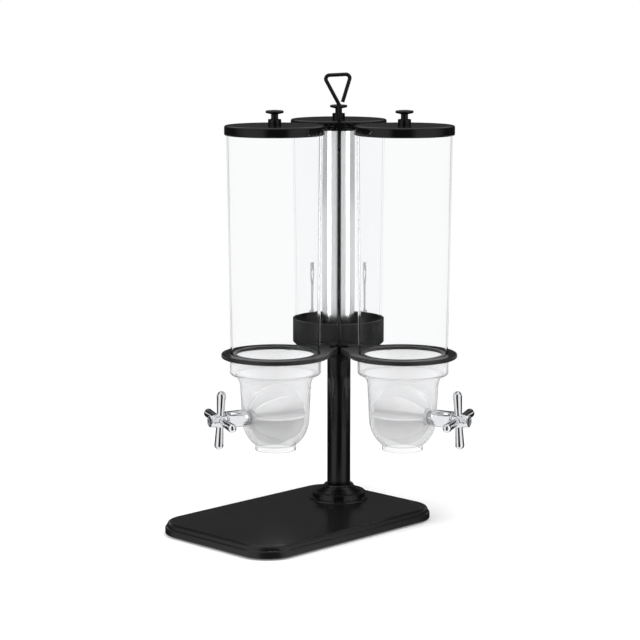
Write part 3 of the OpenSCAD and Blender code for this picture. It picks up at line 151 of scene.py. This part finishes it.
class DispenserStudio(bpy.types.PropertyGroup):
    """Camera, floor and lamps"""

    camera_azimuth: bpy.props.FloatProperty(
        name="Azimuth", description="Direction of the camera round the post",
        subtype="ANGLE", unit="ROTATION", default=math.radians(44.55))
    camera_pitch: bpy.props.FloatProperty(
        name="Pitch", description="Downward tilt of the camera",
        subtype="ANGLE", unit="ROTATION", default=math.radians(8.75))
    camera_distance: bpy.props.FloatProperty(
        name="Distance", description="Level distance from the post to the camera",
        subtype="DISTANCE", unit="LENGTH", default=2.781)
    camera_height: bpy.props.FloatProperty(
        name="Height", description="Height of the camera above the table",
        subtype="DISTANCE", unit="LENGTH", default=0.691)
    camera_aside: bpy.props.FloatProperty(
        name="Aside", description="Sideways place of the camera, to the right",
        subtype="DISTANCE", unit="LENGTH", default=-0.0256)
    camera_lens: bpy.props.FloatProperty(
        name="Lens", description="Focal length on a 36 mm sensor, in millimetres",
        min=20, max=300, default=117.2)
    backdrop: bpy.props.FloatVectorProperty(
        name="Backdrop", description="Colour of the room and the floor",
        subtype="COLOR", size=3, min=0, max=1, default=(1, 1, 1))
    fill: bpy.props.FloatProperty(
        name="Fill", description="Strength of the room's light on the object",
        min=0, max=2, default=0.58)
    side_power: bpy.props.FloatProperty(
        name="Side lamps", description="Power of the two tall soft boxes",
        unit="POWER", min=0, default=14)
    top_power: bpy.props.FloatProperty(
        name="Top lamp", description="Power of the soft box overhead",
        unit="POWER", min=0, default=18)
    card_tone: bpy.props.FloatProperty(
        name="Card tone", description="Brightness of the darkest cards",
        min=0, max=1, default=0.02)
    card_glow: bpy.props.FloatProperty(
        name="Card glow", description="Brightness of the upper cards, which the lids' tops show",
        min=0, max=1, default=0.046)
    low_card_glow: bpy.props.FloatProperty(
        name="Low card glow", description="Brightness of the belt of cards that the base's top shows",
        min=0, max=1, default=0.11)
    card_reach: bpy.props.FloatProperty(
        name="Card reach", description="Distance from the object to the dark cards",
        subtype="DISTANCE", unit="LENGTH", min=0.6, default=0.75)
    card_veil: bpy.props.FloatProperty(
        name="Card veil", description="How far clear plastic in front hides the dark cards",
        min=0, max=1, default=0.68)
    floor_reach: bpy.props.FloatProperty(
        name="Floor reach", description="Radius at which the floor has run into the backdrop",
        subtype="DISTANCE", unit="LENGTH", min=0.5, default=1.1)


def finishes():
    return bpy.context.scene.dispenser_finishes


def shapes():
    return bpy.context.scene.dispenser_shapes


def studio():
    return bpy.context.scene.dispenser_studio


# Materials
def new_finish(name):
    """A material with its shader and a texture place in the frame's metres."""
    material = bpy.data.materials.new(name)
    material.use_nodes = True
    tree = material.node_tree
    shader = tree.nodes["Principled BSDF"]
    place = tree.nodes.new("ShaderNodeTexCoord")
    return material, tree, shader, place.outputs["Object"]


def noise(tree, place, scale, detail=3.0, stretch=None):
    """Seeded grain of about 1 / scale metres, stretched along the axes where asked."""
    if stretch:
        mapping = tree.nodes.new("ShaderNodeMapping")
        mapping.inputs["Scale"].default_value = stretch
        tree.links.new(place, mapping.inputs["Vector"])
        place = mapping.outputs["Vector"]
    grain = tree.nodes.new("ShaderNodeTexNoise")
    grain.inputs["Scale"].default_value = scale
    grain.inputs["Detail"].default_value = detail
    tree.links.new(place, grain.inputs["Vector"])
    return grain.outputs["Fac"]


def spread(tree, value, span, target):
    """Maps a grain to a span and links it to a shader's socket."""
    ramp = tree.nodes.new("ShaderNodeMapRange")
    ramp.inputs["From Min"].default_value, ramp.inputs["From Max"].default_value = GRAIN_SPAN
    ramp.inputs["To Min"].default_value, ramp.inputs["To Max"].default_value = span
    tree.links.new(value, ramp.inputs["Value"])
    tree.links.new(ramp.outputs["Result"], target)


def shade(colour, factor):
    """A darker or lighter tone of a colour."""
    return tuple(min(1.0, part * factor) for part in colour)


def tones(tree, value, colour, factors, target):
    """Varies a colour by a grain, between two factors of its brightness."""
    ramp = tree.nodes.new("ShaderNodeValToRGB")
    for stop, position, factor in zip(ramp.color_ramp.elements, GRAIN_SPAN, factors):
        stop.position = position
        stop.color = (*shade(colour, factor), 1)
    tree.links.new(value, ramp.inputs["Fac"])
    tree.links.new(ramp.outputs["Color"], target)


def relief(tree, value, depth, shader):
    """A fine bump of that depth in metres."""
    bump = tree.nodes.new("ShaderNodeBump")
    bump.inputs["Strength"].default_value = 1.0
    bump.inputs["Distance"].default_value = depth
    tree.links.new(value, bump.inputs["Height"])
    tree.links.new(bump.outputs["Normal"], shader.inputs["Normal"])


def coated(name, colour, rough, peel, specular):
    """Coated metal or moulded plastic: near even, with orange peel and faint handling marks."""
    material, tree, shader, place = new_finish(name)
    tones(tree, noise(tree, place, scale=30), colour, (0.96, 1.04), shader.inputs["Base Color"])
    spread(tree, noise(tree, place, scale=40, detail=4.0), rough, shader.inputs["Roughness"])
    relief(tree, noise(tree, place, scale=900, detail=2.0), peel, shader)
    shader.inputs["Specular IOR Level"].default_value = specular
    return material


def clear_plastic(name, colour, density, bend, haze):
    """Polished clear plastic: milky by its haze, and greyer a long way through, as at edges."""
    material, tree, shader, place = new_finish(name)
    tones(tree, noise(tree, place, scale=18), colour, (0.997, 1.0), shader.inputs["Base Color"])
    spread(tree, noise(tree, place, scale=6, detail=2.0), (0.0, 0.004), shader.inputs["Roughness"])
    shader.inputs["Transmission Weight"].default_value = 1 - haze
    shader.inputs["IOR"].default_value = bend
    absorb = tree.nodes.new("ShaderNodeVolumeAbsorption")
    absorb.inputs["Color"].default_value = (0.5, 0.51, 0.52, 1)
    absorb.inputs["Density"].default_value = density
    tree.links.new(absorb.outputs["Volume"], tree.nodes["Material Output"].inputs["Volume"])
    return material


def plated(name, colour, rough):
    """Bright plating over polished metal, with faint polishing waves."""
    material, tree, shader, place = new_finish(name)
    tones(tree, noise(tree, place, scale=40), colour, (0.96, 1.0), shader.inputs["Base Color"])
    spread(tree, noise(tree, place, scale=160, detail=4.0), rough, shader.inputs["Roughness"])
    relief(tree, noise(tree, place, scale=120, detail=1.0), 6e-6, shader)
    shader.inputs["Metallic"].default_value = 1.0
    return material


def drawn_steel(name, colour, rough):
    """Polished steel with fine drawing lines along the tube."""
    material, tree, shader, place = new_finish(name)
    lines = noise(tree, place, scale=900, stretch=(1, 1, 0.01))
    tones(tree, lines, colour, (0.94, 1.04), shader.inputs["Base Color"])
    spread(tree, lines, rough, shader.inputs["Roughness"])
    relief(tree, lines, 4e-6, shader)
    shader.inputs["Metallic"].default_value = 1.0
    return material


def soft_moulding(name, colour, rough, depth, scatter):
    """Silicone, rubber or nylon: fine moulded grain, light passing into it where it is milky."""
    material, tree, shader, place = new_finish(name)
    tones(tree, noise(tree, place, scale=50), colour, (0.95, 1.04), shader.inputs["Base Color"])
    spread(tree, noise(tree, place, scale=220), rough, shader.inputs["Roughness"])
    relief(tree, noise(tree, place, scale=1400, detail=2.0), depth, shader)
    shader.inputs["Subsurface Weight"].default_value = scatter
    shader.inputs["Subsurface Radius"].default_value = (0.03, 0.03, 0.03)
    shader.inputs["Subsurface Scale"].default_value = 1.0
    return material


# Each finish: how it is made, the setting that gives its colour, and its own values
FINISH_TABLE = {
    "black_paint": (coated, "black_paint", dict(rough=(0.2, 0.22), peel=2e-6, specular=0.3)),
    "satin_black": (coated, "satin_black", dict(rough=(0.31, 0.33), peel=4e-6, specular=0.3)),
    "base_black": (coated, "base_black", dict(rough=(0.22, 0.24), peel=3e-6, specular=0.3)),
    "cup_black": (coated, "satin_black", dict(rough=(0.42, 0.45), peel=4e-6, specular=0.1)),
    "lid_black": (coated, "lid_black", dict(rough=(0.13, 0.15), peel=2e-6, specular=0.25)),
    "clear_tube": (clear_plastic, "clear_tint", dict(density=3.0, bend=1.02, haze=0.0)),
    "clear_bowl": (clear_plastic, "milky_tint", dict(density=30.0, bend=1.05, haze=0.17)),
    "clear_tank": (clear_plastic, "clear_tint", dict(density=0.5, bend=1.006, haze=0.0)),
    "clear_catch": (clear_plastic, "catch_tint", dict(density=30.0, bend=1.15, haze=0.4)),
    "bright_chrome": (plated, "chrome", dict(rough=(0.03, 0.07))),
    "polished_steel": (drawn_steel, "steel", dict(rough=(0.14, 0.22))),
    "milky_silicone": (soft_moulding, "silicone", dict(rough=(0.35, 0.5), depth=4e-6, scatter=1.0)),
    "black_rubber": (soft_moulding, "rubber", dict(rough=(0.7, 0.85), depth=2e-5, scatter=0.0)),
    "white_nylon": (soft_moulding, "nylon", dict(rough=(0.4, 0.55), depth=4e-6, scatter=0.1)),
}
MADE = {}


def finish_of(key):
    """The material of that name, made when it is first asked for."""
    if key not in MADE:
        make, colour, values = FINISH_TABLE[key]
        MADE[key] = make(key, getattr(finishes(), colour), **values)
    return MADE[key]


def paint(piece, key):
    """Gives a piece one finish all over."""
    piece.data.materials.clear()
    piece.data.materials.append(finish_of(key))


def soften(piece, width):
    """Rounds the piece's sharp edges with modifiers, leaving its mesh as it is."""
    weld = piece.modifiers.new("weld", "WELD")
    weld.merge_threshold = WELD_GAP
    bevel = piece.modifiers.new("soft_edge", "BEVEL")
    bevel.width = width
    bevel.segments = 2
    bevel.limit_method = "ANGLE"
    bevel.angle_limit = SHARP_ANGLE
    bevel.use_clamp_overlap = True
    bevel.harden_normals = True


def dress(names, key, edge=0.0):
    """Paints CAD nodes and rounds their edges where a width is given."""
    for name in names:
        paint(NODES[name], key)
        if edge:
            soften(NODES[name], edge)


def make_clear(names, key):
    """Clear plastic that lamps shine through, onto what is inside it."""
    dress(names, key)
    for name in names:
        NODES[name].visible_shadow = False


def each_side(*endings):
    """Names of the pieces that the left and right hopper both have."""
    return [side + "_" + ending for ending in endings for side in SIDES]


def each_unit(*endings):
    """Names of the pieces that all three units have."""
    return [unit + "_" + ending for ending in endings for unit in UNITS]


# Stand
class DISPENSER_OT_stand(bpy.types.Operator):
    """Coats the base, its foot and the post"""

    bl_idname = "dispenser.stand"
    bl_label = "Stand"

    def execute(self, context):
        dress(["base_plate"], "base_black")
        dress(["post_foot", "post_tube"], "black_paint", shapes().metal_edge)
        dress(["base_pad"], "black_rubber")
        for name in ("base_plate", "base_pad"):
            NODES[name].visible_glossy = False
        dress(["post_plug", "post_bolt", "spindle_clip"], "polished_steel")
        dress(["spindle"], "black_paint")
        dress(["thrust_washer"], "lid_black")
        return {"FINISHED"}


# Carousel
class DISPENSER_OT_carousel(bpy.types.Operator):
    """Coats the hub, arms, cup and carry handle"""

    bl_idname = "dispenser.carousel"
    bl_label = "Carousel"

    def execute(self, context):
        dress(["left_bracket", "right_bracket"], "satin_black", shapes().metal_edge)
        dress(["tank_cup"], "cup_black", shapes().metal_edge)
        dress(["hub", "rod_nut"], "black_paint", shapes().metal_edge)
        dress(["handle_rod", "bracket_screws", "bowl_screws"], "black_paint")
        dress(["hub_bush"], "lid_black")
        return {"FINISHED"}


# Hoppers
class DISPENSER_OT_hoppers(bpy.types.Operator):
    """Makes the hopper tubes and bowls clear"""

    bl_idname = "dispenser.hoppers"
    bl_label = "Hoppers"

    def execute(self, context):
        make_clear(each_side("tube"), "clear_tube")
        make_clear(each_side("bowl"), "clear_bowl")
        dress(each_side("tube_gasket"), "black_rubber")
        return {"FINISHED"}


# Paddle drives
def cast_copy(name, node):
    """A casting made from a node: its corners run together in fillets."""
    casting = bpy.data.objects.new(name, NODES[node].data.copy())
    bpy.context.scene.collection.objects.link(casting)
    grain = casting.modifiers.new("grain", "REMESH")
    grain.mode = "VOXEL"
    grain.voxel_size = shapes().casting_voxel
    fillet = casting.modifiers.new("fillet", "SMOOTH")
    fillet.factor = FILLET_SHARE
    fillet.iterations = shapes().casting_smooth
    bpy.context.view_layer.update()
    shaped = casting.evaluated_get(bpy.context.evaluated_depsgraph_get())
    mesh = bpy.data.meshes.new_from_object(shaped)
    casting.modifiers.clear()
    casting.data = mesh
    mesh.shade_smooth()
    return casting


class DISPENSER_OT_drives(bpy.types.Operator):
    """Casts the cross handles and finishes the bearings, shafts and paddles"""

    bl_idname = "dispenser.drives"
    bl_label = "Paddle drives"

    def execute(self, context):
        for side in SIDES:
            casting = cast_copy(side + "_cross_casting", side + "_handle")
            paint(casting, "bright_chrome")
            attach(casting, side + "_drive")
            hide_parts(side + "_handle")
        dress(each_side("bearing", "handle_screw"), "bright_chrome", shapes().metal_edge)
        dress(each_side("shaft"), "polished_steel")
        dress(each_side("bearing_nut", "paddle"), "milky_silicone")
        return {"FINISHED"}


# Lids
class DISPENSER_OT_lids(bpy.types.Operator):
    """Finishes the lids, knobs and seals"""

    bl_idname = "dispenser.lids"
    bl_label = "Lids"

    def execute(self, context):
        dress(each_unit("lid", "knob"), "lid_black")
        dress(each_unit("lid_seal"), "milky_silicone")
        dress(each_unit("knob_screw"), "polished_steel")
        return {"FINISHED"}


def wind_spring():
    """A steel copy of the tap's spring, carried by the carousel in place of its node."""
    coil = bpy.data.objects.new("tap_coil", NODES["tap_spring"].data.copy())
    bpy.context.scene.collection.objects.link(coil)
    paint(coil, "polished_steel")
    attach(coil, "carousel")
    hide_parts("tap_spring")
    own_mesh(coil)


class DISPENSER_OT_juice_unit(bpy.types.Operator):
    """Finishes the tank, ice tube, catches and tap"""

    bl_idname = "dispenser.juice_unit"
    bl_label = "Juice unit"

    def execute(self, context):
        make_clear(["juice_tank"], "clear_tank")
        make_clear(["tank_catches"], "clear_catch")
        dress(["ice_tube", "tap_pin", "tap_stem"], "polished_steel")
        wind_spring()
        dress(["tap_body", "tap_bonnet"], "bright_chrome", shapes().metal_edge)
        dress(["tap_gasket", "tap_seal"], "black_rubber")
        dress(["tap_nut"], "white_nylon")
        dress(["tap_lever"], "lid_black", shapes().metal_edge)
        return {"FINISHED"}


# Stage
def camera_axes():
    """Level directions towards the camera and to its right, in the frame."""
    turn = studio().camera_azimuth
    return Vector((math.sin(turn), -math.cos(turn), 0)), Vector((math.cos(turn), math.sin(turn), 0))


def place_camera():
    """The camera at the photo's viewing angle."""
    settings = studio()
    towards, right = camera_axes()
    camera_data = bpy.data.cameras.new("photo_camera")
    camera_data.lens = settings.camera_lens
    camera_data.sensor_width = SENSOR_WIDTH
    camera = bpy.data.objects.new("photo_camera", camera_data)
    camera.location = (settings.camera_distance * towards + settings.camera_aside * right
                       + Vector((0, 0, settings.camera_height)))
    camera.rotation_euler = (math.pi / 2 - settings.camera_pitch, 0, settings.camera_azimuth)
    bpy.context.scene.collection.objects.link(camera)
    bpy.context.scene.camera = camera


def lamp(name, place, size, power):
    """A rectangular soft box that points at the middle of the object."""
    data = bpy.data.lights.new(name, "AREA")
    data.shape = "RECTANGLE"
    data.size, data.size_y = size
    data.energy = power
    box = bpy.data.objects.new(name, data)
    box.location = place
    box.rotation_euler = (MIDDLE - place).to_track_quat("-Z", "Y").to_euler()
    box.visible_camera = False
    box.visible_glossy = False
    bpy.context.scene.collection.objects.link(box)


def calc(tree, operation, *values):
    """A sum of sockets and plain numbers in a node tree."""
    node = tree.nodes.new("ShaderNodeMath")
    node.operation = operation
    for socket, value in zip(node.inputs, values):
        if isinstance(value, float):
            socket.default_value = value
        else:
            tree.links.new(value, socket)
    return node.outputs["Value"]


def curve(tree, value, stops):
    """A grey ramp through (position, level) stops."""
    ramp = tree.nodes.new("ShaderNodeValToRGB")
    points = ramp.color_ramp.elements
    while len(points) < len(stops):
        points.new(0.5)
    for point, (position, level) in zip(points, stops):
        point.position = position
        point.color = (level, level, level, 1)
    tree.links.new(value, ramp.inputs["Fac"])
    return ramp.outputs["Color"]


def sees_backdrop(tree):
    """1 for rays that show the backdrop: straight from the camera, in gloss or through plastic."""
    path = tree.nodes.new("ShaderNodeLightPath")
    total = path.outputs["Is Camera Ray"]
    for kind in ("Is Glossy Ray", "Is Transmission Ray"):
        total = calc(tree, "MAXIMUM", total, path.outputs[kind])
    return total


def light_room():
    """An even room: the backdrop's colour where it shows, softer where it only lights."""
    settings = studio()
    world = bpy.data.worlds.new("studio_room")
    world.use_nodes = True
    tree = world.node_tree
    tree.nodes.clear()
    shown = tree.nodes.new("ShaderNodeBackground")
    shown.inputs["Color"].default_value = (*settings.backdrop, 1)
    lit = tree.nodes.new("ShaderNodeBackground")
    lit.inputs["Color"].default_value = (*settings.backdrop, 1)
    lit.inputs["Strength"].default_value = settings.fill
    mix = tree.nodes.new("ShaderNodeMixShader")
    out = tree.nodes.new("ShaderNodeOutputWorld")
    tree.links.new(sees_backdrop(tree), mix.inputs["Fac"])
    tree.links.new(lit.outputs["Background"], mix.inputs[1])
    tree.links.new(shown.outputs["Background"], mix.inputs[2])
    tree.links.new(mix.outputs["Shader"], out.inputs["Surface"])
    bpy.context.scene.world = world


def lay_floor():
    """A pale round table top that keeps the object's shadow and runs into the backdrop."""
    reach = studio().floor_reach
    turns = [k * math.tau / FLOOR_SIDES for k in range(FLOOR_SIDES)]
    rim = [(reach * math.cos(turn), reach * math.sin(turn), 0) for turn in turns]
    mesh = bpy.data.meshes.new("floor")
    mesh.from_pydata(rim, [], [tuple(range(FLOOR_SIDES))])
    floor = bpy.data.objects.new("floor", mesh)
    bpy.context.scene.collection.objects.link(floor)
    material, tree, shader, place = new_finish("pale_floor")
    white = studio().backdrop
    tones(tree, noise(tree, place, scale=3), white, (0.985, 1.0), shader.inputs["Base Color"])
    shader.inputs["Roughness"].default_value = 0.9
    shader.inputs["Specular IOR Level"].default_value = 0.0
    shader.inputs["Emission Color"].default_value = (*white, 1)
    shader.inputs["Emission Strength"].default_value = FLOOR_GLOW
    away = tree.nodes.new("ShaderNodeVectorMath")
    away.operation = "LENGTH"
    tree.links.new(place, away.inputs[0])
    share = calc(tree, "DIVIDE", away.outputs["Value"], reach)
    tree.links.new(curve(tree, share, FLOOR_FADE), shader.inputs["Alpha"])
    mesh.materials.append(material)
    floor.visible_glossy = False


def dome_mesh(name, reach):
    """A ball of flat faces round the origin."""
    places, faces = [], []
    for row in range(CARD_ROWS + 1):
        tilt = math.pi * (row / CARD_ROWS - 0.5)
        for column in range(CARD_COLUMNS):
            turn = math.tau * column / CARD_COLUMNS
            places.append((reach * math.cos(tilt) * math.cos(turn),
                           reach * math.cos(tilt) * math.sin(turn),
                           reach * math.sin(tilt)))
    for row in range(CARD_ROWS):
        low, high = row * CARD_COLUMNS, (row + 1) * CARD_COLUMNS
        for column in range(CARD_COLUMNS):
            beside = (column + 1) % CARD_COLUMNS
            faces.append((low + column, low + beside, high + beside, high + column))
    mesh = bpy.data.meshes.new(name)
    mesh.from_pydata(places, [], faces)
    return mesh


def dome_place(tree, place, reach):
    """How far round from the camera, and how far up, a point of the dome is."""
    gradient = tree.nodes.new("ShaderNodeTexGradient")
    gradient.gradient_type = "RADIAL"
    tree.links.new(place, gradient.inputs["Vector"])
    split = tree.nodes.new("ShaderNodeSeparateXYZ")
    tree.links.new(place, split.inputs["Vector"])
    aside = calc(tree, "ABSOLUTE", calc(tree, "SUBTRACT", gradient.outputs["Fac"], 0.5))
    height = calc(tree, "DIVIDE", split.outputs["Z"], reach)
    return aside, calc(tree, "MULTIPLY_ADD", height, 0.5, 0.5)


def card_tones():
    """Brightness up the cards: a belt for the base's top, and an upper part for the lids'."""
    settings = studio()
    dark, belt, upper = settings.card_tone, settings.low_card_glow, settings.card_glow
    return ((0.375, dark), (0.395, belt), (0.47, belt), (0.53, dark), (0.61, dark), (0.66, upper))


def hang_cards():
    """A dome of dark cards with soft-edged windows, seen only in gloss and metal."""
    settings = studio()
    mesh = dome_mesh("dark_cards", settings.card_reach)
    cards = bpy.data.objects.new("dark_cards", mesh)
    cards.location = MIDDLE
    cards.rotation_euler = (0, 0, settings.camera_azimuth - math.pi / 2)
    bpy.context.scene.collection.objects.link(cards)
    for flag in ("camera", "diffuse", "volume_scatter", "shadow"):
        setattr(cards, "visible_" + flag, False)
    material, tree, shader, place = new_finish("dark_card")
    shader.inputs["Base Color"].default_value = (0, 0, 0, 1)
    shader.inputs["Specular IOR Level"].default_value = 0.0
    shader.inputs["Emission Color"].default_value = (1, 1, 1, 1)
    aside, level = dome_place(tree, place, settings.card_reach)
    tree.links.new(curve(tree, level, card_tones()), shader.inputs["Emission Strength"])
    front = calc(tree, "MULTIPLY", curve(tree, aside, FRONT_ROUND), curve(tree, level, FRONT_UP))
    rear = calc(tree, "MULTIPLY", curve(tree, aside, REAR_ROUND), curve(tree, level, REAR_UP))
    opening = calc(tree, "MAXIMUM", front, rear)
    for stops in (OVERHEAD_UP, UNDERNEATH_UP):
        opening = calc(tree, "MAXIMUM", opening, curve(tree, level, stops))
    path = tree.nodes.new("ShaderNodeLightPath")
    mirrored = calc(tree, "MINIMUM", path.outputs["Glossy Depth"], 1.0)
    veiled = calc(tree, "MULTIPLY", path.outputs["Is Transmission Ray"], settings.card_veil)
    closed = calc(tree, "SUBTRACT", calc(tree, "SUBTRACT", 1.0, opening), veiled)
    tree.links.new(calc(tree, "MULTIPLY", closed, mirrored), shader.inputs["Alpha"])
    mesh.materials.append(material)


def hang_lamps():
    """Two tall soft boxes beside the object and a square one overhead."""
    settings = studio()
    towards, right = camera_axes()
    up = Vector((0, 0, 1))
    for name, side in (("left_soft_box", -1), ("right_soft_box", 1)):
        place = MIDDLE + SIDE_BOX_ASIDE * side * right + SIDE_BOX_AHEAD * towards + SIDE_BOX_UP * up
        lamp(name, place, SIDE_BOX_SIZE, settings.side_power)
    lamp("top_soft_box", MIDDLE + TOP_BOX_UP * up + TOP_BOX_AHEAD * towards, TOP_BOX_SIZE,
         settings.top_power)


class DISPENSER_OT_stage(bpy.types.Operator):
    """Sets the camera, the pale floor, the room and the lamps"""

    bl_idname = "dispenser.stage"
    bl_label = "Stage"

    def execute(self, context):
        place_camera()
        light_room()
        lay_floor()
        hang_cards()
        hang_lamps()
        context.scene.view_settings.view_transform = "Standard"
        return {"FINISHED"}


# Sidebar
class DISPENSER_PT_panel(bpy.types.Panel):
    """Lists the dispenser's steps and settings"""

    bl_idname = "DISPENSER_PT_panel"
    bl_label = "Dispenser"
    bl_space_type = "VIEW_3D"
    bl_region_type = "UI"
    bl_category = "Dispenser"

    def draw(self, context):
        for step in STEPS:
            self.layout.operator(step.bl_idname)
        for settings in (finishes(), shapes(), studio()):
            column = self.layout.column()
            for key in settings.__annotations__:
                column.prop(settings, key)


SETTINGS = {
    "dispenser_finishes": DispenserFinishes,
    "dispenser_shapes": DispenserShapes,
    "dispenser_studio": DispenserStudio,
}
STEPS = (
    DISPENSER_OT_stage,
    DISPENSER_OT_stand,
    DISPENSER_OT_carousel,
    DISPENSER_OT_hoppers,
    DISPENSER_OT_drives,
    DISPENSER_OT_lids,
    DISPENSER_OT_juice_unit,
)


def register():
    for cls in (*SETTINGS.values(), *STEPS, DISPENSER_PT_panel):
        bpy.utils.register_class(cls)
    for key, group in SETTINGS.items():
        setattr(bpy.types.Scene, key, bpy.props.PointerProperty(type=group))


def unregister():
    for key in SETTINGS:
        delattr(bpy.types.Scene, key)
    for cls in (DISPENSER_PT_panel, *reversed(STEPS), *reversed(SETTINGS.values())):
        bpy.utils.unregister_class(cls)


def main():
    register()
    bpy.ops.dispenser.stage()
    bpy.ops.dispenser.stand()
    bpy.ops.dispenser.carousel()
    bpy.ops.dispenser.hoppers()
    bpy.ops.dispenser.drives()
    bpy.ops.dispenser.lids()
    bpy.ops.dispenser.juice_unit()


if __name__ == "__main__":
    main()
